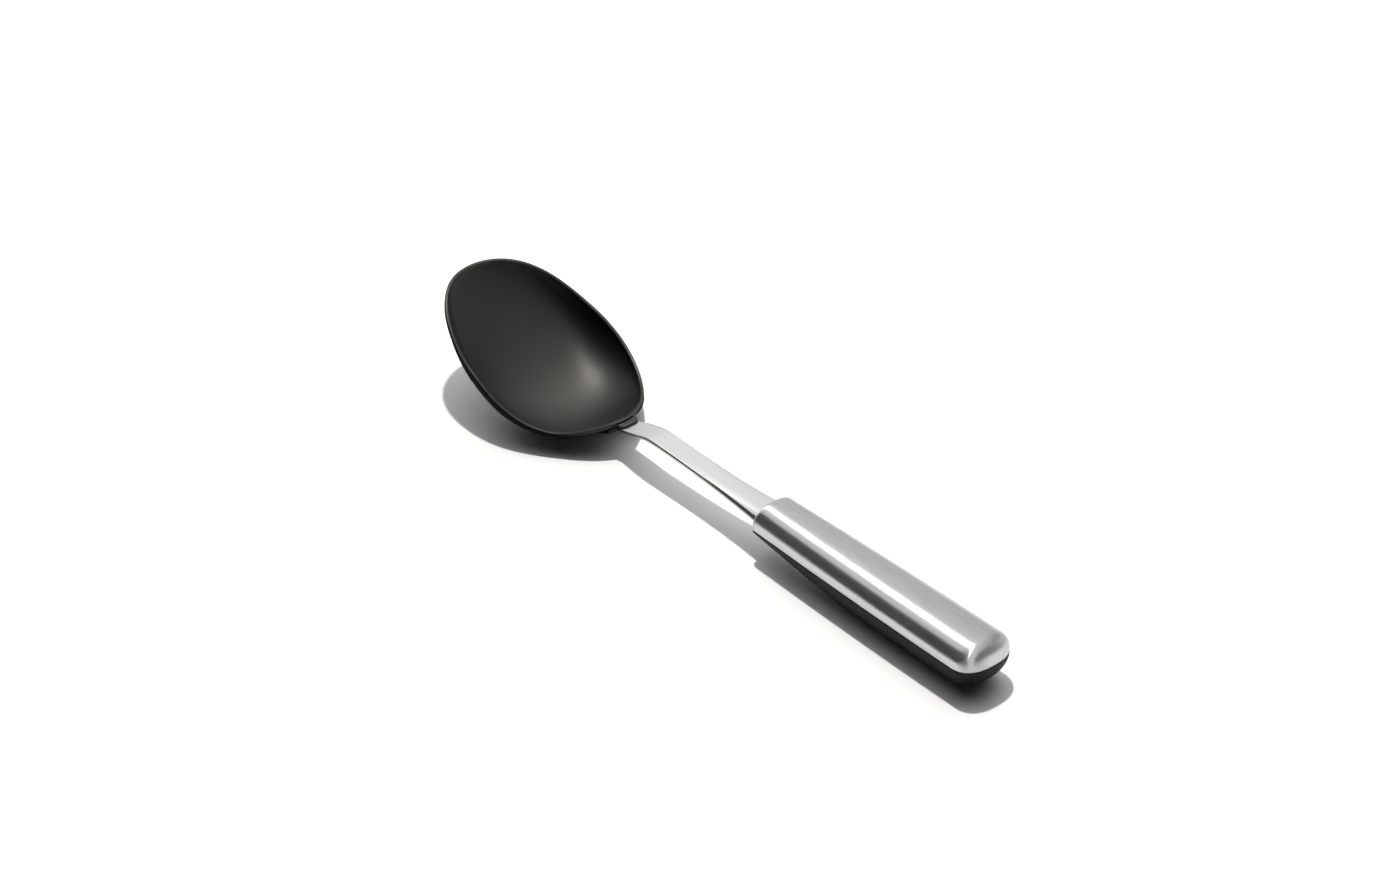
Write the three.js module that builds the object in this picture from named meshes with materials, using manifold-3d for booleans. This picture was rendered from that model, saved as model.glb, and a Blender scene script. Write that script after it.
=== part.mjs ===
import * as THREE from 'three';
import { mergeVertices } from 'three/addons/utils/BufferGeometryUtils.js';
import Module from 'manifold-3d';

// Cooking spoon in millimetres, Z up. It lies along X with the bowl at -X and the butt at +X,
// it is symmetric about Y = 0, and it rests on Z = 0 on the grip's belly and the bowl's bottom.

// Lengths along the spoon, from the bowl's tip to the butt
const bowlLength = 98.8;
const neckFreeLength = 87.2;
const handleLength = 127.3;

// Gap left between pieces that touch
const clearance = 0.3;

// Bowl, seen from above: an egg whose wide end is the tip
const bowlHalfWidth = 34.4;
const bowlWidestFromRear = 46.7;
const bowlTipPower = 2.05;
const bowlRearPower = 1.38;

// Bowl rim, seen from the side: heights above the table, and the slope of the rim at each of them
const rimRear = { height: 14.3, slope: -0.38 };
const rimLow = { fromRear: 18, height: 9.3, slope: 0.06 };
const rimMiddle = { fromRear: 58.5, height: 23.1, slope: 0.35 };
const rimTip = { height: 39.1, slope: 0.09 };

// Bowl walls
const bowlDeepestFromRear = 30.5;
const bowlFloor = 2;
const lipWidth = 2.2;
const lipDepth = 1.6;
const rampPower = 1.75;
const insetLeast = 0.1;

// Socket behind the bowl: a tongue over the neck and a sleeve under it
const tongueLength = 2.7;
const tongueHalfWidth = 4.7;
const tongueDrop = 0.3;
const tongueRoot = 7;
const sleeveFromRear = 4;
const sleeveLength = 11;
const sleeveWall = 1;

// Neck strip: heights are those of its upper face along its edges
const neckThickness = 2;
const neckHalfWidth = 5.3;
const neckEdgeRound = 0.5;
const neckHeightAtBowl = 12;
const neckClimb = 0.3;
const neckBendFromBowl = 17.8;
const neckBendSoftness = 0.45;
const neckFall = 0.033;
const socketDip = 0.25;
const socketDipEase = 4;
const flareHalfWidth = 8;
const flareLength = 57.7;
const flarePower = 2.2;
const flareCrown = 2;
const crownPower = 4;

// Tangs of the neck and the holes that lock them
const frontTangLength = 13.5;
const frontTangHalfWidth = 4.8;
const frontTangTaper = 12;
const frontHoleFromTip = 6.5;
const frontHoleRadius = 2;
const rearTangLength = 46;
const rearTangHalfWidth = 6;
const rearTangTaper = 6;
const rearHolesFromEnd = [10, 26];
const rearHoleRadius = 2.5;
const pegRoot = 1;

// Handle outline from above: half widths at the front, halfway and where the round butt starts
const handleFrontHalfWidth = 11;
const handleMiddleHalfWidth = 13;
const handleRearHalfWidth = 13.9;
const buttLength = 9.3;
const frontRound = 1.5;

// Handle sections: a steel arch over the parting line, a soft belly under it
const partingHeight = 12.7;
const coverHeight = 8.8;
const coverPower = 2.4;
const coverWall = 0.8;
const bellyPower = 2.25;
const bellyFrontDepth = 3.7;
const bellyRunIn = 75.8;
const bellyRunInPower = 2.2;
const bellyRunOut = 14;
const bellyFlat = 0.2;
const gripWall = 2.5;
const coreKeyHeight = 1;

// Fineness of the curved faces
const rimSteps = 72;
const wallSteps = 9;
const archSteps = 24;
const buttSteps = 7;
const neckSteps = 40;

// Places along X
const overallLength = bowlLength + neckFreeLength + handleLength;
const tipX = -overallLength / 2;
const bowlRearX = tipX + bowlLength;
const handleFrontX = bowlRearX + neckFreeLength;
const buttX = handleFrontX + handleLength;
const widestX = bowlRearX - bowlWidestFromRear;
const deepestX = bowlRearX - bowlDeepestFromRear;
const bendX = bowlRearX + neckBendFromBowl;
const frontTangX = bowlRearX - frontTangLength;
const rearTangX = handleFrontX + rearTangLength;
const frontHoleX = frontTangX + frontHoleFromTip;

const wasm = await Module();
wasm.setup();

// A closed surface through rings of equal point count, with a fan over each end
function loft(rings) {
  const count = rings[0].length;
  const points = rings.flat();
  const first = points.length;
  for (const ring of [rings[0], rings[rings.length - 1]]) {
    points.push([0, 1, 2].map((axis) => ring.reduce((sum, p) => sum + p[axis], 0) / count));
  }
  const index = [];
  for (let i = 0; i < count; i += 1) {
    const j = (i + 1) % count;
    index.push(first, j, i);
    for (let r = 0; r + 1 < rings.length; r += 1) {
      const a = r * count;
      const b = a + count;
      index.push(a + i, a + j, b + j, a + i, b + j, b + i);
    }
    const last = (rings.length - 1) * count;
    index.push(first + 1, last + i, last + j);
  }
  const geometry = new THREE.BufferGeometry();
  geometry.setAttribute('position', new THREE.Float32BufferAttribute(points.flat(), 3));
  geometry.setIndex(index);
  return geometry;
}

// Six times the volume inside a closed surface, negative where its faces point inwards
function signedVolume(geometry) {
  const position = geometry.getAttribute('position');
  const corner = (i) => new THREE.Vector3().fromBufferAttribute(position, geometry.index.getX(i));
  let sum = 0;
  for (let i = 0; i < geometry.index.count; i += 3) {
    sum += corner(i).dot(corner(i + 1).cross(corner(i + 2)));
  }
  return sum;
}

function solid(geometry) {
  geometry.deleteAttribute('normal');
  geometry.deleteAttribute('uv');
  const merged = mergeVertices(geometry, 1e-4);
  if (signedVolume(merged) < 0) {
    merged.index.array.reverse();
  }
  const mesh = new wasm.Mesh({
    numProp: 3,
    vertProperties: new Float32Array(merged.getAttribute('position').array),
    triVerts: new Uint32Array(merged.index.array),
  });
  return new wasm.Manifold(mesh);
}

function piece(name, body, material) {
  const { vertProperties, triVerts } = body.getMesh();
  const geometry = new THREE.BufferGeometry();
  geometry.setAttribute('position', new THREE.BufferAttribute(vertProperties, 3));
  geometry.setIndex(new THREE.BufferAttribute(triVerts, 1));
  geometry.computeVertexNormals();
  const mesh = new THREE.Mesh(geometry, material);
  mesh.name = name;
  return mesh;
}

const mix = (a, b, t) => a + (b - a) * t;
const clamp01 = (t) => Math.min(Math.max(t, 0), 1);
const smooth = (t) => clamp01(t) ** 2 * (3 - 2 * clamp01(t));
const signedPower = (v, power) => Math.sign(v) * Math.abs(v) ** power;

// Height of a curve that passes through two points with a given slope at each
function hermite(x, x0, z0, m0, x1, z1, m1) {
  const run = x1 - x0;
  const t = clamp01((x - x0) / run);
  const rise = (t ** 3 - 2 * t ** 2 + t) * m0 + (t ** 3 - t ** 2) * m1;
  return mix(z0, z1, t * t * (3 - 2 * t)) + run * rise;
}

function rimHeight(x) {
  const d = bowlRearX - x;
  const low = rimLow;
  const mid = rimMiddle;
  if (d < low.fromRear) {
    return hermite(d, 0, rimRear.height, rimRear.slope, low.fromRear, low.height, low.slope);
  }
  if (d < mid.fromRear) {
    return hermite(d, low.fromRear, low.height, low.slope, mid.fromRear, mid.height, mid.slope);
  }
  return hermite(d, mid.fromRear, mid.height, mid.slope, bowlLength, rimTip.height, rimTip.slope);
}

// Point of the rim's outer edge seen from above; angle 0 is the tip
function rimPoint(angle) {
  const c = Math.cos(angle);
  const reach = c > 0 ? bowlLength - bowlWidestFromRear : bowlWidestFromRear;
  const half = c > 0
    ? (1 - c ** bowlTipPower) ** 0.5
    : (1 - c ** 2) ** (1 / bowlRearPower);
  return [widestX - reach * c, Math.sign(Math.sin(angle)) * bowlHalfWidth * half];
}

const rimAngles = Array.from({ length: rimSteps }, (_, i) => ((i + 0.5) * 2 * Math.PI) / rimSteps);

// The rim's outline from above, drawn in by an inset square to its edge, but never past the middle
function rimOutline(inset) {
  return rimAngles.map((angle) => {
    const step = Math.PI / rimSteps / 4;
    const [x, y] = rimPoint(angle);
    const [x0, y0] = rimPoint(angle - step);
    const [x1, y1] = rimPoint(angle + step);
    const length = Math.hypot(x1 - x0, y1 - y0);
    const side = (inset * (x1 - x0)) / length;
    const along = (inset * (y1 - y0)) / length;
    const sense = (x1 - x0) * (y - 0) - (y1 - y0) * (x - widestX) > 0 ? 1 : -1;
    const half = Math.max(Math.sign(y) * (y - sense * side), insetLeast * Math.abs(y));
    return [x + sense * along, Math.sign(y) * half, rimHeight(x)];
  });
}

// How far up the wall a point lies: round at the sides, a ramp towards the tip and the neck
function wallRise(u, angle) {
  const round = 1 - Math.sqrt(1 - u * u);
  return mix(round, u ** rampPower, Math.abs(Math.cos(angle)) ** 1.5);
}

// Rings from the deepest point of the bowl out to a rim outline
function wallRings(outline, floorHeight, drop) {
  return Array.from({ length: wallSteps }, (_, k) => {
    const u = Math.sin(((k + 1) * Math.PI) / 2 / wallSteps);
    return outline.map(([x, y, z], i) => [
      mix(deepestX, x, u),
      y * u,
      mix(floorHeight, z - drop, wallRise(u, rimAngles[i])),
    ]);
  });
}

const raised = (outline, height) => outline.map(([x, y, z]) => [x, y, z + height]);

function bowlOuter() {
  const edge = rimOutline(0);
  return solid(loft([...wallRings(edge, 0, lipDepth), edge, rimOutline(lipWidth * 1.5)]));
}

function bowlHollow() {
  const edge = rimOutline(lipWidth);
  return solid(loft([...wallRings(edge, bowlFloor, 0), raised(edge, bowlLength)]));
}

// Upper face of the neck along its edges: a dip into the socket, a climb, a soft bend, a gentle fall
function neckTop(x) {
  const bend = neckHeightAtBowl + neckClimb * neckBendFromBowl;
  const climb = bend + neckClimb * (x - bendX);
  const fall = bend - neckFall * (x - bendX);
  const depth = Math.max(bowlRearX - x, 0);
  const dip = (socketDip * depth ** 2) / (depth + socketDipEase);
  return (climb + fall) / 2 - Math.hypot((climb - fall) / 2, neckBendSoftness) - dip;
}

const flare = (x) => clamp01((x - handleFrontX + flareLength) / flareLength) ** flarePower;

function neckHalf(x) {
  const free = mix(neckHalfWidth, flareHalfWidth, flare(x));
  const front = mix(frontTangHalfWidth, free, smooth((x - bowlRearX) / frontTangTaper));
  return mix(front, rearTangHalfWidth, smooth((x - handleFrontX - coverWall - clearance) / rearTangTaper));
}

function neckCrown(x) {
  return flareCrown * flare(x) * (1 - smooth((x - handleFrontX - coverWall - clearance) / rearTangTaper));
}

// Section of the neck at x, grown on every side; the room grown for it is flat underneath
function neckRing(x, grow) {
  const half = neckHalf(x) + grow;
  const top = neckTop(x) + grow;
  const bottom = neckTop(x) - neckThickness - grow;
  const flat = half - neckEdgeRound;
  const crown = (y) => neckCrown(x) * (1 - Math.abs(y / half) ** crownPower);
  const across = [-1, -0.85, -0.66, -0.4, 0, 0.4, 0.66, 0.85, 1].map((t) => t * flat);
  return [
    ...across.map((y) => [x, y, top + crown(y)]),
    [x, half, top - neckEdgeRound],
    [x, half, bottom + neckEdgeRound],
    ...across.map((y) => [x, -y, grow > 0 ? bottom : bottom + crown(y)]),
    [x, -half, bottom + neckEdgeRound],
    [x, -half, top - neckEdgeRound],
  ];
}

function neckStrip(grow) {
  const from = frontTangX - grow;
  const to = rearTangX + grow;
  const rings = Array.from({ length: neckSteps + 1 }, (_, i) => neckRing(mix(from, to, i / neckSteps), grow));
  return solid(loft(rings));
}

// An upright round bar through the strip at x, reaching past both of its faces
function bar(x, radius, reach) {
  const height = neckThickness + 2 * reach;
  const geometry = new THREE.CylinderGeometry(radius, radius, height, 24);
  geometry.rotateX(Math.PI / 2);
  geometry.translate(x, 0, neckTop(x) - neckThickness / 2);
  return solid(geometry);
}

// Tongue that runs out from under the rim and covers the neck
function tongue() {
  const from = bowlRearX - tongueRoot;
  const to = bowlRearX + tongueLength;
  const rings = Array.from({ length: 9 }, (_, i) => {
    const t = Math.sin((i * Math.PI) / 2 / 8.4);
    const x = mix(from, to, t);
    const half = tongueHalfWidth * (1 - t ** 6) ** (1 / 3);
    const low = neckTop(x) - neckThickness / 2;
    const high = Math.min(rimHeight(Math.min(x, bowlRearX)), rimRear.height) - tongueDrop;
    return [[x, -half, low], [x, -half, high], [x, half, high], [x, half, low]];
  });
  return solid(loft(rings));
}

// Sleeve under the bowl that carries the neck's front tang
function sleeve() {
  const half = frontTangHalfWidth + clearance + sleeveWall;
  const start = bowlRearX - sleeveFromRear;
  const rings = Array.from({ length: 7 }, (_, i) => {
    const x = start - (sleeveLength * i) / 6;
    const low = neckTop(x) - neckThickness - clearance - sleeveWall;
    const high = Math.min(neckTop(x) + neckThickness, rimHeight(x) - lipDepth / 2);
    return [[x, -half, low + 1], [x, -half, high], [x, half, high], [x, half, low + 1],
      [x, half - 1, low], [x, 1 - half, low]];
  });
  return solid(loft(rings));
}

// Half width of the handle at the parting line, before the butt closes it
function handleHalf(x) {
  const t = clamp01((x - handleFrontX) / (handleLength - buttLength));
  const front = handleFrontHalfWidth * (1 - t) * (1 - 2 * t);
  const middle = 4 * handleMiddleHalfWidth * t * (1 - t);
  return front + middle + handleRearHalfWidth * t * (2 * t - 1);
}

function bellyDepth(x) {
  const t = clamp01((x - handleFrontX) / bellyRunIn);
  const full = partingHeight + bellyFlat;
  return full - (full - bellyFrontDepth) * (1 - t) ** bellyRunInPower;
}

// Share of its depth that the belly keeps as it rises to the butt
function bellyClose(x, inset) {
  const t = clamp01((x - buttX + bellyRunOut) / (bellyRunOut - inset));
  return Math.sqrt(1 - t * t);
}

// Stations along the handle, drawn in by an inset, with the size of the section at each:
// edge is what the rounded front takes off it, close is the share the round butt leaves
function handleStations(inset) {
  const round = Math.max(frontRound - inset, clearance);
  const from = handleFrontX + inset;
  const buttStart = buttX - buttLength;
  const stations = [];
  for (let i = 0; i <= 3; i += 1) {
    const angle = (i * Math.PI) / 6;
    stations.push({ x: from + round * (1 - Math.cos(angle)), edge: round * (1 - Math.sin(angle)), close: 1 });
  }
  for (let i = 1; i <= 9; i += 1) {
    stations.push({ x: mix(from + round, buttStart, i / 9), edge: 0, close: 1 });
  }
  for (let i = 1; i <= buttSteps; i += 1) {
    const angle = (i * Math.PI) / 2 / (buttSteps + 0.3);
    stations.push({ x: buttStart + (buttLength - inset) * Math.sin(angle), edge: 0, close: Math.cos(angle) });
  }
  return stations;
}

// One half of the handle, drawn in by an inset: side 1 is the arch, side -1 the belly.
// Its flat face lies at the base height and runs on past it by an overlap.
function handleHalfBody(side, inset, base, overlap) {
  const power = side > 0 ? coverPower : bellyPower;
  const rings = handleStations(inset).map(({ x, edge, close }) => {
    const half = (handleHalf(x) - inset - edge) * close;
    const full = side > 0 ? coverHeight : bellyDepth(x);
    const share = side > 0 ? close : bellyClose(x, inset);
    const rise = Math.max(full - inset - edge, clearance) * share;
    const ring = [];
    for (let i = 0; i <= archSteps; i += 1) {
      const angle = (i * Math.PI) / archSteps;
      const y = half * signedPower(Math.cos(angle), 2 / power);
      ring.push([x, y, base + side * rise * Math.sin(angle) ** (2 / power)]);
    }
    ring.push([x, -half, base - side * overlap], [x, half, base - side * overlap]);
    return ring;
  });
  return solid(loft(rings));
}

// Pieces
const neckRoom = neckStrip(clearance);

const rearHoles = rearHolesFromEnd.map((d) => rearTangX - d);
let neck = neckStrip(0).subtract(bar(frontHoleX, frontHoleRadius, neckThickness));
for (const x of rearHoles) {
  neck = neck.subtract(bar(x, rearHoleRadius, neckThickness));
}

const bowlPeg = bar(frontHoleX, frontHoleRadius - clearance, clearance + pegRoot);
const bowl = bowlOuter().add(tongue()).add(sleeve()).subtract(bowlHollow())
  .subtract(neckRoom).add(bowlPeg);

const coverBase = partingHeight + clearance / 2;
const gripTop = partingHeight - clearance / 2;

const cover = handleHalfBody(1, 0, coverBase, 0)
  .subtract(handleHalfBody(1, coverWall, coverBase, coverWall))
  .subtract(neckRoom);

const table = new THREE.BoxGeometry(2 * overallLength, overallLength, partingHeight);
table.translate(0, 0, -partingHeight / 2);
const grip = handleHalfBody(-1, 0, gripTop, 0)
  .subtract(handleHalfBody(-1, gripWall, gripTop, gripWall))
  .subtract(solid(table))
  .subtract(neckRoom);

let core = handleHalfBody(1, coverWall + clearance, coverBase, 0)
  .add(handleHalfBody(-1, gripWall + clearance, gripTop, coreKeyHeight + clearance))
  .subtract(neckRoom);
for (const x of rearHoles) {
  core = core.add(bar(x, rearHoleRadius - clearance, clearance + pegRoot));
}

const nylon = new THREE.MeshStandardMaterial({ color: 0x1e1e1f, roughness: 0.5, metalness: 0 });
const strip = new THREE.MeshStandardMaterial({ color: 0xd2d2d0, roughness: 0.25, metalness: 1 });
const brushed = new THREE.MeshStandardMaterial({ color: 0xbdbdbb, roughness: 0.35, metalness: 1 });
const soft = new THREE.MeshStandardMaterial({ color: 0x232324, roughness: 0.75, metalness: 0 });
const carrier = new THREE.MeshStandardMaterial({ color: 0x3a3a3c, roughness: 0.6, metalness: 0 });

const spoon = new THREE.Group();
spoon.add(piece('bowl', bowl, nylon));
spoon.add(piece('neck', neck, strip));
spoon.add(piece('handle_core', core, carrier));
spoon.add(piece('handle_cover', cover, brushed));
spoon.add(piece('handle_grip', grip, soft));

export default spoon;
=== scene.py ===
import bpy
import numpy as np
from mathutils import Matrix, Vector


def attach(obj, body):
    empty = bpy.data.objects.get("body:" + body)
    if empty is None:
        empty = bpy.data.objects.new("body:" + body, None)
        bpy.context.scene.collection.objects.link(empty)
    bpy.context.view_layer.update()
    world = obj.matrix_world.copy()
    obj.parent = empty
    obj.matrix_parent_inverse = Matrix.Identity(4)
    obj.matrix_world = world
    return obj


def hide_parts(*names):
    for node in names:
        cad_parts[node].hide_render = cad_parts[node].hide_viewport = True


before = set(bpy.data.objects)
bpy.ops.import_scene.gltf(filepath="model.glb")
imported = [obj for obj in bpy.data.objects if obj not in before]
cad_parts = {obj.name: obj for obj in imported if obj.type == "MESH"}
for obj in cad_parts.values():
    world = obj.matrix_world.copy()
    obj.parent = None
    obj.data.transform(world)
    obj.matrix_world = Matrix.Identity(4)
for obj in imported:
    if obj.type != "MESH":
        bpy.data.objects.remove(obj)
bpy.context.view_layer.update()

# Cooking spoon: a moulded bowl, a bent steel neck, and a handle with a steel cover over a soft
# grip. Sizes are in millimetres and meshes are written in metres. Most sizes are the solids' own;
# some differ a little, to follow the photograph or to keep a wall closed.

MM = 0.001
# The solids' facets lie this far inside their curves, and the meshes stay within the solids' box
facet_depth = 0.05

# Lengths along the spoon
bowl_length = 98.8
neck_free_length = 87.2
handle_length = 127.3
overall_length = bowl_length + neck_free_length + handle_length
tip_x = -overall_length / 2
bowl_rear_x = tip_x + bowl_length
handle_front_x = bowl_rear_x + neck_free_length
butt_x = handle_front_x + handle_length - facet_depth

# Bowl's outline
bowl_half_width = 34.37
bowl_tip_power = 2.13
bowl_rear_power = 1.42
rear_bluntness = 0.28
widest_from_rear = 46.7
widest_x = bowl_rear_x - widest_from_rear
# Rim heights: distance from the bowl's rear, height, slope
rim_knots = ((0.0, 14.3, -0.38), (18.0, 9.5, 0.07), (58.5, 23.7, 0.36), (bowl_length, 39.08, 0.07))

# Bowl's walls: powers of their ramps, and how the ramps take over from the sides round the bowl
deepest_x = bowl_rear_x - 30.5
bowl_floor = 2.0
outer_ramp_power = 1.75
inner_ramp_power = 2.06
ramp_soft = 0.08
ramp_spread = 0.75
# Rows up a wall lie at the sines of evenly spaced angles between these
wall_angles = (0.04, 1.46)
# Bottom of the inside: its lowest place, how fast it rises towards the tip, the neck and the sides,
# how far to either side the first turns into the second, and where it gives way to the wall
bottom_x = bowl_rear_x - 26.8
bottom_to_tip = 0.0094
bottom_to_neck = 0.0128
bottom_to_side = 0.004
bottom_turn = 12.0
bottom_share = 1.02

# Section of the lip from its inner to its outer edge: inset from the outline, height over the rim
lip_width = 1.45
lip_section = ((lip_width, -0.4), (1.4, -0.24), (1.28, -0.15), (1.1, -0.1), (0.5, 0.0),
               (0.22, -0.01), (0.07, -0.09), (0.01, -0.2), (0.0, -0.34), (0.0, -1.5),
               (0.05, -1.64), (0.16, -1.72), (0.36, -1.76), (0.48, -1.86))
ledge_inset = 0.52
ledge_depth = 2.1

# Socket behind the bowl
tongue_length = 3.0
tongue_half_width = 4.9
tongue_drop = 0.75
tongue_root = 1.8
tongue_round = 0.4
tongue_round_share = 0.9
tongue_close_power = 5
tongue_close_root = 0.4
tongue_last_angle = 1.54
sleeve_from_rear = 4.0
sleeve_length = 11.0
sleeve_wall = 1.0
sleeve_squareness = 0.4

# Neck strip
neck_thickness = 2.0
neck_half_width = 5.3
neck_edge_round = 0.97
neck_height_at_bowl = 12.0
neck_climb = 0.3
neck_bend_from_bowl = 17.8
neck_bend_softness = 0.45
neck_fall = 0.033
bend_x = bowl_rear_x + neck_bend_from_bowl
socket_dip = 0.25
socket_dip_ease = 4.0
flare_half_width = 8.0
flare_length = 57.7
flare_power = 2.2
flare_crown = 2.0
crown_power = 4.0
front_tang_x = bowl_rear_x - 13.5
front_tang_half_width = 4.8
front_tang_taper = 12.0
rear_tang_x = handle_front_x + 46.0

# Handle: half widths at its front, middle and rear, and the rounding of its ends
handle_half_widths = (11.0, 13.0, 13.9)
front_round = 1.5
front_face_start = 0.04
butt_length = 9.9
butt_power = 2.4
parting_height = 12.95
clearance = 0.3
# Steel arch over the parting line
cover_base = parting_height + clearance / 2
cover_height = 8.55
cover_power = 2.4
cover_wall = 0.8
crest_run_out = 7.6
crest_power = 2.2
# Soft belly under it
grip_top = parting_height - clearance / 2
grip_wall = 1.2
belly_power = 2.25
belly_front_depth = 3.95
belly_run_in = 75.8
belly_run_in_power = 2.2
belly_run_out = 14.0
belly_flat = 0.2


def linear(code):
    """sRGB hex colour as linear red, green, blue and alpha."""
    value = np.array([int(code[i:i + 2], 16) for i in (1, 3, 5)]) / 255
    low = value / 12.92
    high = ((value + 0.055) / 1.055) ** 2.4
    return (*np.where(value <= 0.04045, low, high).tolist(), 1.0)


def pattern(size):
    """Texture scale of a pattern this many mm across."""
    return 1000 / size


def add_node(tree, kind, settings=None, inputs=None):
    """Adds a node with its properties, and sets or links its inputs."""
    made = tree.nodes.new(kind)
    for key, value in (settings or {}).items():
        setattr(made, key, value)
    for key, value in (inputs or {}).items():
        if isinstance(value, bpy.types.NodeSocket):
            tree.links.new(value, made.inputs[key])
        else:
            made.inputs[key].default_value = value
    return made


def new_material(name):
    """An empty node material and its tree."""
    material = bpy.data.materials.new(name)
    material.use_nodes = True
    material.node_tree.nodes.clear()
    return material, material.node_tree


def finish_material(material, surface):
    """Sends a shader to the material's output."""
    add_node(material.node_tree, "ShaderNodeOutputMaterial", inputs={"Surface": surface})
    return material


def two_tone(tree, factor, dark, light):
    """Colour that a pattern moves between two hex colours."""
    ramp = add_node(tree, "ShaderNodeValToRGB", inputs={"Fac": factor})
    for element, colour in zip(ramp.color_ramp.elements, (dark, light)):
        element.color = linear(colour)
    return ramp.outputs["Color"]


def gloss_range(tree, factor, low, high):
    """Roughness that the middle of a noise pattern's range moves between two values."""
    made = add_node(tree, "ShaderNodeMapRange", inputs={
        "Value": factor, "From Min": 0.3, "From Max": 0.7, "To Min": low, "To Max": high})
    return made.outputs["Result"]


def moulded_nylon():
    """Glass-filled nylon from a polished mould: near black, a broad soft gloss, a faint grain."""
    material, tree = new_material("moulded_black_nylon")
    place = add_node(tree, "ShaderNodeTexCoord").outputs["Object"]
    # Flow clouds about 22 mm across, and a grain of 0.8 mm, coarser than the real 0.2 mm to show
    clouds = add_node(tree, "ShaderNodeTexNoise", inputs={
        "Vector": place, "Scale": pattern(22), "Detail": 3.0})
    grain = add_node(tree, "ShaderNodeTexNoise", inputs={
        "Vector": place, "Scale": pattern(0.8), "Detail": 2.0})
    relief = add_node(tree, "ShaderNodeBump", inputs={
        "Height": grain.outputs["Fac"], "Strength": 0.06, "Distance": 0.1 * MM})
    skin = add_node(tree, "ShaderNodeBsdfPrincipled", inputs={
        "Base Color": two_tone(tree, clouds.outputs["Fac"], "#111110", "#171615"),
        "Roughness": gloss_range(tree, grain.outputs["Fac"], 0.415, 0.455),
        "Normal": relief.outputs["Normal"], "IOR": 1.5, "Specular IOR Level": 0.38,
        "Specular Tint": (1.0, 0.975, 0.91, 1.0)})
    return finish_material(material, skin.outputs["BSDF"])


def satin_strip_steel():
    """Stainless strip with a satin rolled finish: bright, with faint marks along its length."""
    material, tree = new_material("satin_stainless_strip")
    place = add_node(tree, "ShaderNodeTexCoord").outputs["Object"]
    # Rolling marks 40 mm long and 0.7 mm apart
    drawn = add_node(tree, "ShaderNodeMapping", inputs={
        "Vector": place, "Scale": (pattern(40), pattern(0.7), pattern(0.7))})
    marks = add_node(tree, "ShaderNodeTexNoise", inputs={
        "Vector": drawn.outputs["Vector"], "Scale": 1.0, "Detail": 3.0})
    relief = add_node(tree, "ShaderNodeBump", inputs={
        "Height": marks.outputs["Fac"], "Strength": 0.01, "Distance": 0.05 * MM})
    skin = add_node(tree, "ShaderNodeBsdfPrincipled", inputs={
        "Base Color": two_tone(tree, marks.outputs["Fac"], "#CCCCCB", "#D2D2D1"),
        "Metallic": 1.0, "Roughness": gloss_range(tree, marks.outputs["Fac"], 0.22, 0.26),
        "Normal": relief.outputs["Normal"]})
    return finish_material(material, skin.outputs["BSDF"])


def brushed_cover_steel():
    """Stainless sheet brushed on a wheel: highlights run out along the handle, and fine streaks
    follow it."""
    material, tree = new_material("brushed_stainless_cover")
    place = add_node(tree, "ShaderNodeTexCoord").outputs["Object"]
    # Streaks 18 mm long and 0.6 mm apart, coarser than the real 0.1 mm so that they show
    drawn = add_node(tree, "ShaderNodeMapping", inputs={
        "Vector": place, "Scale": (pattern(18), pattern(0.6), pattern(0.6))})
    streaks = add_node(tree, "ShaderNodeTexNoise", inputs={
        "Vector": drawn.outputs["Vector"], "Scale": 1.0, "Detail": 4.0, "Roughness": 0.6})
    lie = add_node(tree, "ShaderNodeTangent", {"direction_type": "UV_MAP", "uv_map": "lie"})
    skin = add_node(tree, "ShaderNodeBsdfPrincipled", inputs={
        "Base Color": two_tone(tree, streaks.outputs["Fac"], "#A7A7A7", "#E3E3E3"),
        "Metallic": 1.0, "Roughness": gloss_range(tree, streaks.outputs["Fac"], 0.3, 0.385),
        "Anisotropic": 0.975, "Tangent": lie.outputs["Tangent"]})
    return finish_material(material, skin.outputs["BSDF"])


def soft_grip():
    """Soft-touch elastomer from a matt mould: black, almost no gloss, a powdery edge."""
    material, tree = new_material("soft_touch_elastomer")
    place = add_node(tree, "ShaderNodeTexCoord").outputs["Object"]
    # Spark-eroded mould grain, drawn at 1 mm instead of 0.15 mm so that it shows
    grain = add_node(tree, "ShaderNodeTexNoise", inputs={
        "Vector": place, "Scale": pattern(1.0), "Detail": 3.0})
    relief = add_node(tree, "ShaderNodeBump", inputs={
        "Height": grain.outputs["Fac"], "Strength": 0.12, "Distance": 0.1 * MM})
    skin = add_node(tree, "ShaderNodeBsdfPrincipled", inputs={
        "Base Color": two_tone(tree, grain.outputs["Fac"], "#121212", "#1A1A1A"),
        "Roughness": gloss_range(tree, grain.outputs["Fac"], 0.52, 0.64),
        "Normal": relief.outputs["Normal"], "IOR": 1.5, "Specular IOR Level": 0.22})
    return finish_material(material, skin.outputs["BSDF"])


def core_plastic():
    """Moulded filled plastic inside the handle: dark grey and dull, with a sandy grain."""
    material, tree = new_material("moulded_core_plastic")
    place = add_node(tree, "ShaderNodeTexCoord").outputs["Object"]
    # Sandy grain of 1.5 mm
    grain = add_node(tree, "ShaderNodeTexNoise", inputs={
        "Vector": place, "Scale": pattern(1.5), "Detail": 2.0})
    skin = add_node(tree, "ShaderNodeBsdfPrincipled", inputs={
        "Base Color": two_tone(tree, grain.outputs["Fac"], "#343436", "#3E3E40"),
        "Roughness": 0.6, "IOR": 1.5})
    return finish_material(material, skin.outputs["BSDF"])


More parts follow.
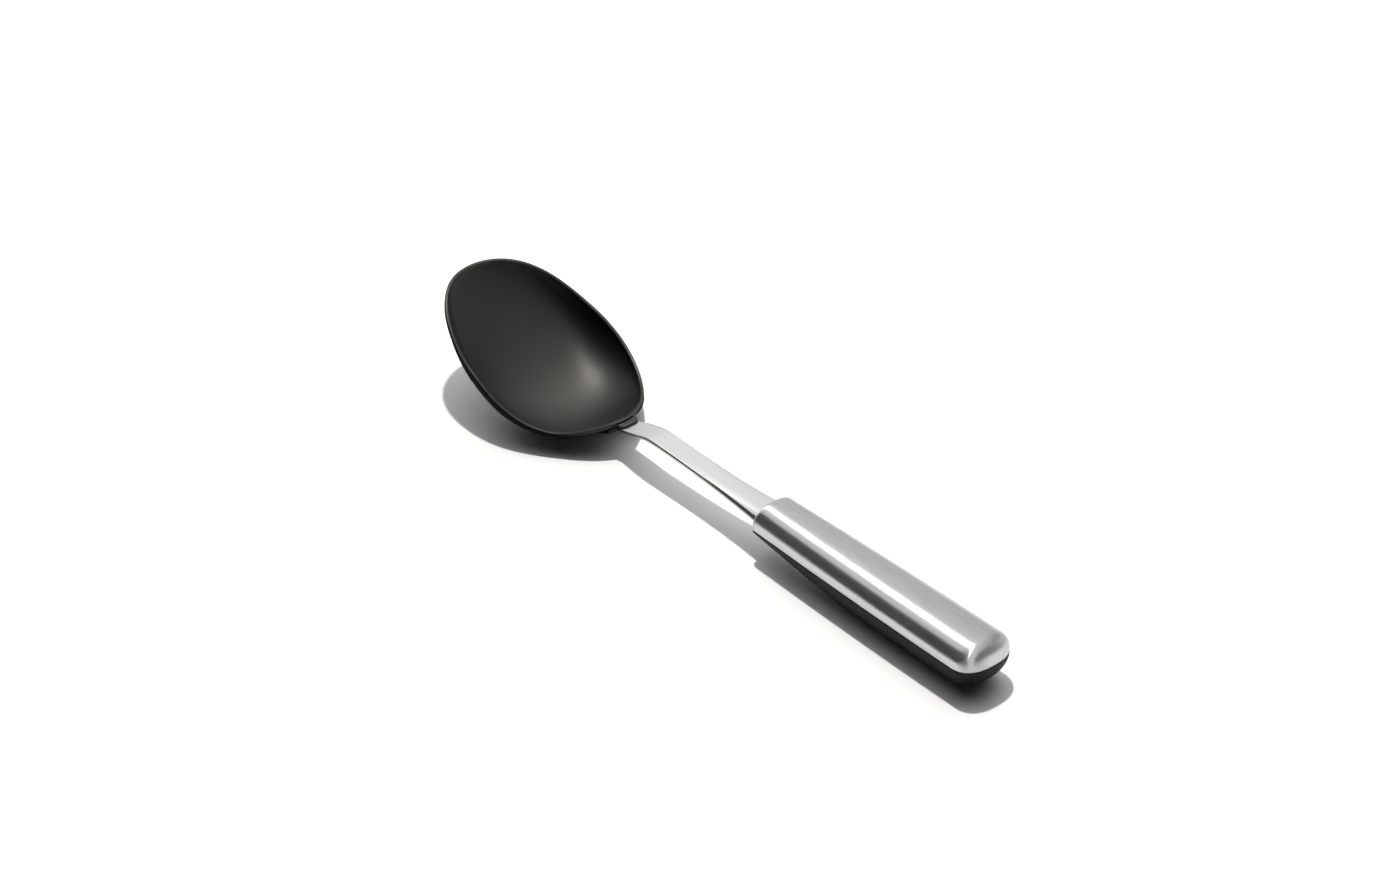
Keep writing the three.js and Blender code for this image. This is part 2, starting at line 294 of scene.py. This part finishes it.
def build_piece(name, grid, wrap, poles, material, facing=None):
    """Skins rows of points. Neighbouring rows are joined by quads, wrap also joins a row's last
    point to its first, and each end row closes on its pole. Faces are turned outwards: by the sign
    of the enclosed volume, or towards facing on an open sheet. The UV map holds the lengths in mm
    along the rows' middle line and along each row."""
    rows, count, _ = grid.shape
    points = np.concatenate([grid.reshape(-1, 3), np.array(poles, float)])
    columns = np.arange(count if wrap else count - 1)
    after = (columns + 1) % count
    starts = np.arange(rows - 1)[:, None] * count
    quads = np.stack([starts + columns, starts + after,
                      starts + count + after, starts + count + columns], -1)
    quads = quads.reshape(-1, 4)
    last = (rows - 1) * count
    first_fan = np.stack([np.full(len(columns), rows * count), after, columns], -1)
    last_fan = np.stack([np.full(len(columns), rows * count + 1), last + columns, last + after], -1)
    fans = np.concatenate([first_fan, last_fan])
    triangles = np.concatenate([quads[:, [0, 1, 2]], quads[:, [0, 2, 3]], fans])
    a, b, c = (points[triangles[:, i]] for i in range(3))
    if facing is None:
        sense = np.einsum("ij,ij->", a, np.cross(b, c))
    else:
        sense = np.cross(b - a, c - a).sum(0) @ np.array(facing, float)
    if sense < 0:
        quads, fans = quads[:, ::-1], fans[:, ::-1]
    mesh = bpy.data.meshes.new(name)
    mesh.from_pydata((points * MM).tolist(), [], quads.tolist() + fans.tolist())
    middle = grid[:, count // 2]
    steps = np.linalg.norm(np.diff(middle, axis=0), axis=1)
    along = np.concatenate([[0.0], np.cumsum(steps)])
    steps = np.linalg.norm(np.diff(grid, axis=1), axis=2)
    across = np.concatenate([np.zeros((rows, 1)), np.cumsum(steps, axis=1)], axis=1)
    flat = np.stack([np.broadcast_to(along[:, None], (rows, count)), across], -1).reshape(-1, 2)
    pole_step = 0.1
    ends = np.array([[along[0] - pole_step, across[0].mean()],
                     [along[-1] + pole_step, across[-1].mean()]])
    flat = np.concatenate([flat, ends])
    corners = np.empty(len(mesh.loops), np.int32)
    mesh.loops.foreach_get("vertex_index", corners)
    layer = mesh.uv_layers.new(name="lie")
    layer.data.foreach_set("uv", flat[corners].ravel().astype(np.float32))
    mesh.polygons.foreach_set("use_smooth", np.ones(len(mesh.polygons), bool))
    mesh.materials.append(material)
    mesh.update()
    piece = bpy.data.objects.new(name, mesh)
    bpy.context.scene.collection.objects.link(piece)
    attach(piece, "root")
    return piece


def smooth(t):
    """Smooth step from 0 to 1."""
    t = np.clip(t, 0, 1)
    return t * t * (3 - 2 * t)


def mix(a, b, t):
    """Straight blend from a to b."""
    return a + (b - a) * t


def rim_curve(x):
    """Height and slope of the rim: cubic pieces through the knots with the slope given at each."""
    distance = np.clip(bowl_rear_x - x, 0, bowl_length)
    height = np.zeros_like(distance)
    slope = np.zeros_like(distance)
    for (d0, z0, m0), (d1, z1, m1) in zip(rim_knots[:-1], rim_knots[1:]):
        run = d1 - d0
        t = (distance - d0) / run
        inside = (t >= 0) & (t <= 1)
        bulge = (t**3 - 2 * t**2 + t) * m0 + (t**3 - t**2) * m1
        turn = (3 * t**2 - 4 * t + 1) * m0 + (3 * t**2 - 2 * t) * m1
        height = np.where(inside, z0 + (z1 - z0) * t * t * (3 - 2 * t) + run * bulge, height)
        slope = np.where(inside, (z1 - z0) * 6 * t * (1 - t) / run + turn, slope)
    return height, slope


def rim_outline(angle):
    """Outline of the bowl from above: an egg of two halves that meet where it is widest. Angle 0 is
    the tip; each half's width is a power of what is left of its reach, blunted at the rear."""
    c = np.cos(angle)
    reach = np.where(c > 0, bowl_length - widest_from_rear - facet_depth, widest_from_rear)
    left = np.where(c > 0, 1 - np.abs(c) ** bowl_tip_power, 1 - c * c)
    share = (left + rear_bluntness**2) / (1 + rear_bluntness**2)
    blunt = left**0.5 * share ** (1 / bowl_rear_power - 0.5)
    half = bowl_half_width * np.where(c > 0, left**0.5, blunt)
    return np.stack([widest_x - reach * c, np.sign(np.sin(angle)) * half], -1)


def bowl_grid(count=288, wall_rows=34):
    """Rings round the bowl from its deepest inside point up the wall, over the lip's section and
    down the outside. A wall point lies a share u of the way from the deepest point to the rim, and
    its height is a quarter circle of u at the sides and a power of u towards the tip and the neck.
    At the bottom the inside eases into a shallow bowl of second order, steeper to the neck than to
    the tip."""
    angle = (np.arange(count) + 0.5) * 2 * np.pi / count
    edge = rim_outline(angle)
    step = 0.004
    tangent = rim_outline(angle + step) - rim_outline(angle - step)
    tangent /= np.linalg.norm(tangent, axis=1, keepdims=True)
    outward = np.stack([tangent[:, 1], -tangent[:, 0]], -1)
    side = np.sign(np.einsum("ij,ij->i", outward, edge - [widest_x, 0]))
    outward *= side[:, None]
    height, slope = rim_curve(edge[:, 0])
    lean = slope * np.abs(np.sin(angle))
    least = ramp_soft**ramp_spread
    ramp = (np.cos(angle) ** 2 + ramp_soft) ** ramp_spread - least
    ramp /= (1 + ramp_soft) ** ramp_spread - least

    def lip_ring(inset, rise):
        ring = edge - inset * outward
        return np.stack([ring[:, 0] + lean * rise, ring[:, 1], height + rise], -1)

    def wall(rim, floor, shares, power):
        u = shares[:, None]
        lift = mix(1 - np.sqrt(1 - u * u), u**power, ramp)
        x = mix(deepest_x, rim[:, 0], u)
        return np.stack([x, rim[:, 1] * u, mix(floor, rim[:, 2], lift)], -1)

    shares = np.sin(np.linspace(*wall_angles, wall_rows))
    inner = wall(lip_ring(lip_width, 0.0), bowl_floor, shares, inner_ramp_power)
    along = inner[..., 0] - bottom_x
    turned = smooth((along + bottom_turn) / (2 * bottom_turn))
    steep = mix(bottom_to_tip, bottom_to_neck, turned)
    bottom = bowl_floor + steep * along**2 + bottom_to_side * inner[..., 1] ** 2
    inner[..., 2] = mix(bottom, inner[..., 2], smooth(shares / bottom_share)[:, None])
    lip = np.stack([lip_ring(*point) for point in lip_section])
    ledge = lip_ring(ledge_inset, -ledge_depth)
    outer = wall(ledge, 0.0, np.append(shares, 1.0), outer_ramp_power)[::-1]
    return np.concatenate([inner, lip, outer])


def neck_top(x):
    """Height of the strip's upper face along its edges: the softened lower of a climbing and a
    falling line, with a dip into the bowl's socket."""
    bend = neck_height_at_bowl + neck_climb * neck_bend_from_bowl
    climb = bend + neck_climb * (x - bend_x)
    fall = bend - neck_fall * (x - bend_x)
    depth = np.maximum(bowl_rear_x - x, 0)
    dip = socket_dip * depth**2 / (depth + socket_dip_ease)
    return (climb + fall) / 2 - np.hypot((climb - fall) / 2, neck_bend_softness) - dip


def neck_grid(rows=320, face_points=33, corner_points=7):
    """Rounded strip section carried along the neck. The strip widens to the handle, where its upper
    face domes: the dome falls off with the fourth power of the distance from the middle."""
    x = np.linspace(front_tang_x, rear_tang_x, rows)[:, None]
    flare = np.clip((x - handle_front_x + flare_length) / flare_length, 0, 1) ** flare_power
    free = mix(neck_half_width, flare_half_width, flare)
    half = mix(front_tang_half_width, free, smooth((x - bowl_rear_x) / front_tang_taper))
    crown = flare_crown * flare
    r = neck_edge_round
    across = np.sin(np.linspace(-np.pi / 2, np.pi / 2, face_points))
    corner = np.linspace(0, np.pi / 2, corner_points)[1:-1]
    flat = half - r
    top = neck_top(x)

    def side(sign, lower):
        y = sign * (flat + r * (np.cos(corner) if lower else np.sin(corner)))
        level = top - neck_thickness + r if lower else top - r
        return y, level + r * (-np.sin(corner) if lower else np.cos(corner))

    def back(part):
        return tuple(v[:, ::-1] for v in part)

    def face(sign, drop):
        y = sign * across * flat
        return y, top - drop + crown * (1 - np.abs(y / half) ** crown_power)

    parts = [face(1, 0), side(1, False), side(1, True),
             face(-1, neck_thickness), back(side(-1, True)), back(side(-1, False))]
    y = np.concatenate([part[0] for part in parts], axis=1)
    z = np.concatenate([part[1] for part in parts], axis=1)
    return np.stack([np.broadcast_to(x, y.shape), y, z], -1)


def tongue_grid(rows=40, corner_points=7):
    """Tongue over the neck: a block with rounded upper edges whose width closes with the fifth power
    of the way to its end."""
    t = np.sin(np.linspace(0, tongue_last_angle, rows))[:, None]
    x = mix(bowl_rear_x - tongue_root, bowl_rear_x + tongue_length, t)
    half = tongue_half_width * (1 - t**tongue_close_power) ** tongue_close_root
    height, _ = rim_curve(np.minimum(x, bowl_rear_x))
    high = np.minimum(height, rim_knots[0][1]) - tongue_drop
    low = neck_top(x) - neck_thickness / 2
    r = np.minimum(tongue_round, half * tongue_round_share)
    turn = np.linspace(0, np.pi / 2, corner_points)
    left_y = -half + r * (1 - np.cos(turn))
    left_z = high - r * (1 - np.sin(turn))
    y = np.concatenate([-half, left_y, -left_y[:, ::-1], half], axis=1)
    z = np.concatenate([low, left_z, left_z[:, ::-1], low], axis=1)
    return np.stack([np.broadcast_to(x, y.shape), y, z], -1)


def sleeve_grid(rows=24, count=33):
    """Boss under the bowl round the strip's end: half a rounded box, closed at the strip's middle."""
    start = bowl_rear_x - sleeve_from_rear
    x = np.linspace(start, start - sleeve_length, rows)[:, None]
    half = front_tang_half_width + clearance + sleeve_wall
    depth = neck_thickness / 2 + clearance + sleeve_wall
    turn = np.linspace(0, np.pi, count)
    y = half * np.sign(np.cos(turn)) * np.abs(np.cos(turn)) ** sleeve_squareness
    middle = neck_top(x) - neck_thickness / 2
    z = middle - depth * np.sin(turn) ** sleeve_squareness
    return np.stack([np.broadcast_to(x, z.shape), np.broadcast_to(y, z.shape), z], -1)


def handle_stations(face_rows=10, turn_rows=8, straight_rows=89, butt_rows=32):
    """Stations from the middle of the front face out over its rounded edge, along the handle and
    round the butt: place along X, what the front rounding takes off the section, share left by the
    front face, share left by the butt."""
    face = np.linspace(front_face_start, 1, face_rows)
    turn = np.linspace(0, np.pi / 2, turn_rows + 1)[1:]
    butt_start = butt_x - butt_length
    straight = np.linspace(handle_front_x + front_round, butt_start, straight_rows + 1)[1:]
    round_off = np.linspace(0, np.pi / 2, butt_rows + 2)[1:-1]
    x = np.concatenate([
        np.full(face_rows, handle_front_x), handle_front_x + front_round * (1 - np.cos(turn)),
        straight, butt_start + butt_length * np.sin(round_off) ** (2 / butt_power)])
    edge = np.concatenate([
        np.full(face_rows, front_round), front_round * (1 - np.sin(turn)),
        np.zeros(straight_rows + butt_rows)])
    front = np.concatenate([face, np.ones(turn_rows + straight_rows + butt_rows)])
    close = np.concatenate([
        np.ones(face_rows + turn_rows + straight_rows), np.cos(round_off) ** (2 / butt_power)])
    return x[:, None], edge[:, None], front[:, None], close[:, None]


def handle_half(x):
    """Half width along the handle: a quadratic through the widths at its front, middle and rear."""
    t = np.clip((x - handle_front_x) / (handle_length - butt_length), 0, 1)
    first, middle, last = handle_half_widths
    return first * (1 - t) * (1 - 2 * t) + 4 * middle * t * (1 - t) + last * t * (2 * t - 1)


def handle_grid(sign, base, count=121):
    """One half of the handle over its parting line: superellipse sections along the stations.
    Upwards it is an even arch, whose crest falls in a superellipse to the butt. Downwards the belly
    deepens behind the front, is flat where it lies on the table, and rises in a quarter ellipse to
    the butt."""
    x, edge, front, close = handle_stations()
    power = cover_power if sign > 0 else belly_power
    if sign > 0:
        out = np.clip((x - butt_x + crest_run_out) / crest_run_out, 0, 1)
        rise = (cover_height - edge) * front * (1 - out**crest_power) ** (1 / crest_power)
    else:
        full = parting_height + belly_flat
        run = np.clip((x - handle_front_x) / belly_run_in, 0, 1)
        deep = full - (full - belly_front_depth) * (1 - run) ** belly_run_in_power
        out = np.clip((x - butt_x + belly_run_out) / belly_run_out, 0, 1)
        rise = (deep - edge) * front * np.sqrt(1 - out**2)
    half = (handle_half(x) - edge) * front * close
    turn = np.linspace(0, np.pi, count)
    y = half * np.sign(np.cos(turn)) * np.abs(np.cos(turn)) ** (2 / power)
    z = np.maximum(base + sign * rise * np.sin(turn) ** (2 / power), 0)
    return np.stack([np.broadcast_to(x, y.shape), y, z], -1)


def handle_poles(base):
    """Middles of the handle's front face and of its butt, where the rows of one half close."""
    return [(handle_front_x, 0, base), (butt_x, 0, base)]


def give_wall(piece, thickness):
    """Thickens a sheet inwards."""
    shell = piece.modifiers.new("wall", "SOLIDIFY")
    shell.thickness = thickness * MM
    shell.offset = -1


nylon = moulded_nylon()
strip_steel = satin_strip_steel()
cover_steel = brushed_cover_steel()
elastomer = soft_grip()

shell = bowl_grid()
bowl = build_piece(
    "bowl_shell", shell, True, [shell[0].mean(0), shell[-1].mean(0)], nylon)
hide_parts("bowl")

tongue = tongue_grid()
build_piece("bowl_tongue", tongue, True, [tongue[0].mean(0), tongue[-1].mean(0)], nylon)

sleeve = sleeve_grid()
build_piece("bowl_sleeve", sleeve, True, [sleeve[0].mean(0), sleeve[-1].mean(0)], nylon)

strip = neck_grid()
strip_end_height = neck_top(rear_tang_x) + flare_crown - neck_thickness / 2
strip_end = (rear_tang_x + neck_thickness, 0, strip_end_height)
neck = build_piece(
    "neck_strip", strip, True, [strip[0].mean(0), strip_end], strip_steel)
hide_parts("neck")

cover = build_piece(
    "handle_cover_shell", handle_grid(1, cover_base), False, handle_poles(cover_base),
    cover_steel, (0, 0, 1))
give_wall(cover, cover_wall)
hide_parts("handle_cover")

grip = build_piece(
    "handle_grip_shell", handle_grid(-1, grip_top), False, handle_poles(grip_top),
    elastomer, (0, 0, -1))
give_wall(grip, grip_wall)
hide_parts("handle_grip")

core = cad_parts["handle_core"]
core.data.materials.clear()
core.data.materials.append(core_plastic())

# Studio, in metres. The paper's tone is for light and for the eye, and its fade to plain white lies
# between two distances from the spoon.
floor_reach = 6
floor_height = -0.05 * MM
paper_tone = 0.9
paper_tone_seen = 1.17
white_from = 0.7
white_at = 1.4
# Dim glow of the cards that only reflections see: the colour of painted dark reflections
painted_reflection_colour = "#282828"
# Card on the table round the bowl, in millimetres, seen only in reflections: a painted dark
# reflection on the bowl's outside in place of the paper. It starts just outside the outline and ends
# at a rectangle, and both are cut off before the neck
ring_count = 96
ring_start = 1.06
ring_end = 20
ring_least = (-400, -100)
ring_start_most = (-58.5, 250)
ring_end_most = (-58, 250)
ring_height = 0.6
# Soft light of the surroundings, and the level that the pieces mirror
soft_from = (-0.595, 0.545, 0.59)
soft_power = 3.7
soft_level = 2.15
mirrored_level = 0.94
key_place = (-0.5532, 0.4089, 1.54)
key_target = (-0.02, 0, 0)
key_size = 0.08
key_energy = 6.5
key_colour = (1, 0.98, 0.945, 1)
camera_place = (1.52915, -1.3756, 1.5271)
camera_target = (-0.04149, 0.02522, 0)
camera_lens = 164.7
camera_sensor = 36


def flat_panel(name, corners, material, faces=((0, 1, 2, 3),)):
    """Flat panel of the studio, in metres: four corners, or the faces given."""
    mesh = bpy.data.meshes.new(name)
    mesh.from_pydata(corners, [], faces)
    mesh.materials.append(material)
    panel = bpy.data.objects.new(name, mesh)
    bpy.context.scene.collection.objects.link(panel)
    return panel


def white_sweep():
    """Matt white paper: white to the camera where the light reaches it and far from the spoon, and
    it keeps the shadow. From below it is clear."""
    material, tree = new_material("white_paper")
    path = add_node(tree, "ShaderNodeLightPath").outputs
    seen = add_node(tree, "ShaderNodeMath", {"operation": "MAXIMUM"}, {
        0: path["Is Camera Ray"], 1: path["Is Glossy Ray"]})
    tone = add_node(tree, "ShaderNodeMapRange", inputs={
        "Value": seen.outputs["Value"], "To Min": paper_tone, "To Max": paper_tone_seen})
    paper = add_node(tree, "ShaderNodeBsdfDiffuse", inputs={"Color": tone.outputs["Result"]})
    place = add_node(tree, "ShaderNodeTexCoord").outputs["Object"]
    away = add_node(tree, "ShaderNodeVectorMath", {"operation": "LENGTH"}, {0: place})
    fade = add_node(tree, "ShaderNodeMapRange", inputs={
        "Value": away.outputs["Value"], "From Min": white_from, "From Max": white_at,
        "To Max": path["Is Camera Ray"]})
    white = add_node(tree, "ShaderNodeEmission", inputs={"Color": (1, 1, 1, 1)})
    sweep = add_node(tree, "ShaderNodeMixShader", inputs={
        0: fade.outputs["Result"], 1: paper.outputs["BSDF"], 2: white.outputs["Emission"]})
    clear = add_node(tree, "ShaderNodeBsdfTransparent")
    under = add_node(tree, "ShaderNodeNewGeometry").outputs["Backfacing"]
    both = add_node(tree, "ShaderNodeMixShader", inputs={
        0: under, 1: sweep.outputs["Shader"], 2: clear.outputs["BSDF"]})
    return finish_material(material, both.outputs["Shader"])


def painted_dark_reflection():
    """Dark card that glows faintly and that only reflections see: painted dark reflections, as dark
    bands on the steel and on the bowl's outside in place of the paper.
    """
    material, tree = new_material("painted_dark_reflection")
    card = add_node(tree, "ShaderNodeEmission", inputs={"Color": linear(painted_reflection_colour)})
    return finish_material(material, card.outputs["Emission"])


def point_at(thing, place, target):
    """Puts a lamp or a camera at a place and turns it to a target."""
    thing.location = place
    thing.rotation_euler = (Vector(target) - thing.location).to_track_quat("-Z", "Y").to_euler()


flat_panel("floor", [(x * floor_reach, y * floor_reach, floor_height)
                     for x, y in ((-1, -1), (1, -1), (1, 1), (-1, 1))], white_sweep())
painted_reflection_skin = painted_dark_reflection()
# Dark cards round the spoon, seen only in reflections: painted dark bands on the steel and the nylon
side_card = flat_panel("side_card", [
    (-1.6, -0.85, 0.07), (0.8, -0.85, 0.07), (0.7, -0.2, 0.92), (-1.6, -0.3, 0.88)], painted_reflection_skin)
back_card = flat_panel("back_card", [
    (0.8, 0.74, 0.12), (1.14, -0.3, 0.12), (0.8, -0.1, 0.8), (0.52, 0.53, 0.8)], painted_reflection_skin)
far_card = flat_panel("far_card", [
    (-0.25, 0.95, 0.3), (0.05, 0.95, 0.3), (0.05, 0.75, 1.15), (-0.2, 0.75, 1.15)], painted_reflection_skin)
bowl_middle = np.array([widest_x, 0])
spread = rim_outline(np.arange(ring_count) * 2 * np.pi / ring_count) - bowl_middle
inner_ring = np.clip(bowl_middle + ring_start * spread, ring_least, ring_start_most)
outer_ring = np.clip(bowl_middle + ring_end * spread, ring_least, ring_end_most)
ring = np.concatenate([inner_ring, outer_ring])
ring = np.column_stack([ring, np.full(len(ring), ring_height)]) * MM
turns = [(i, j, ring_count + j, ring_count + i)
         for i, j in ((i, (i + 1) % ring_count) for i in range(ring_count))]
table_card = flat_panel("table_card", ring.tolist(), painted_reflection_skin, turns)
# Only reflections see the cards: they are painted dark reflections, not things in the room
for card in (side_card, back_card, far_card, table_card):
    card.visible_camera = False
    card.visible_diffuse = False
    card.visible_transmission = False
    card.visible_shadow = False

# White to the camera, an even level in reflections, and for the rest a soft light from high behind
# the spoon, which falls off with a power of the angle's cosine
scene = bpy.context.scene
world = bpy.data.worlds.new("studio")
world.use_nodes = True
scene.world = world
tree = world.node_tree
tree.nodes.clear()
path = add_node(tree, "ShaderNodeLightPath").outputs
shown = add_node(tree, "ShaderNodeMath", {"operation": "MAXIMUM"}, {
    0: path["Is Camera Ray"], 1: path["Is Transmission Ray"]})
direction = add_node(tree, "ShaderNodeTexCoord").outputs["Generated"]
toward = add_node(tree, "ShaderNodeVectorMath", {"operation": "DOT_PRODUCT"}, {
    0: direction, 1: soft_from})
lit = add_node(tree, "ShaderNodeMath", {"operation": "MAXIMUM"}, {
    0: toward.outputs["Value"], 1: 0.0})
soft = add_node(tree, "ShaderNodeMath", {"operation": "POWER"}, {
    0: lit.outputs["Value"], 1: soft_power})
fill = add_node(tree, "ShaderNodeMath", {"operation": "MULTIPLY"}, {
    0: soft.outputs["Value"], 1: soft_level})
mirrored = add_node(tree, "ShaderNodeMapRange", inputs={
    "Value": path["Is Glossy Ray"], "To Min": fill.outputs["Value"], "To Max": mirrored_level})
level = add_node(tree, "ShaderNodeMapRange", inputs={
    "Value": shown.outputs["Value"], "To Min": mirrored.outputs["Result"], "To Max": 1.0})
sky = add_node(tree, "ShaderNodeBackground", inputs={
    "Color": (1, 1, 1, 1), "Strength": level.outputs["Result"]})
add_node(tree, "ShaderNodeOutputWorld", inputs={"Surface": sky.outputs["Background"]})

# Key lamp: small, high behind the spoon, even over the table
lamp = bpy.data.lights.new("key", "AREA")
lamp.shape = "DISK"
lamp.size = key_size
lamp.energy = key_energy
lamp.use_nodes = True
tree = lamp.node_tree
tree.nodes.clear()
even = add_node(tree, "ShaderNodeLightFalloff", inputs={"Strength": 1.0})
glow = add_node(tree, "ShaderNodeEmission", inputs={
    "Color": key_colour, "Strength": even.outputs["Constant"]})
add_node(tree, "ShaderNodeOutputLight", inputs={"Surface": glow.outputs["Emission"]})
key = bpy.data.objects.new("key", lamp)
point_at(key, key_place, key_target)
key.visible_camera = False
scene.collection.objects.link(key)

# Camera at the photograph's place
camera = bpy.data.cameras.new("camera")
camera.sensor_fit = "HORIZONTAL"
camera.sensor_width = camera_sensor
camera.lens = camera_lens
viewer = bpy.data.objects.new("camera", camera)
point_at(viewer, camera_place, camera_target)
scene.collection.objects.link(viewer)
scene.camera = viewer
scene.view_settings.view_transform = "Standard"
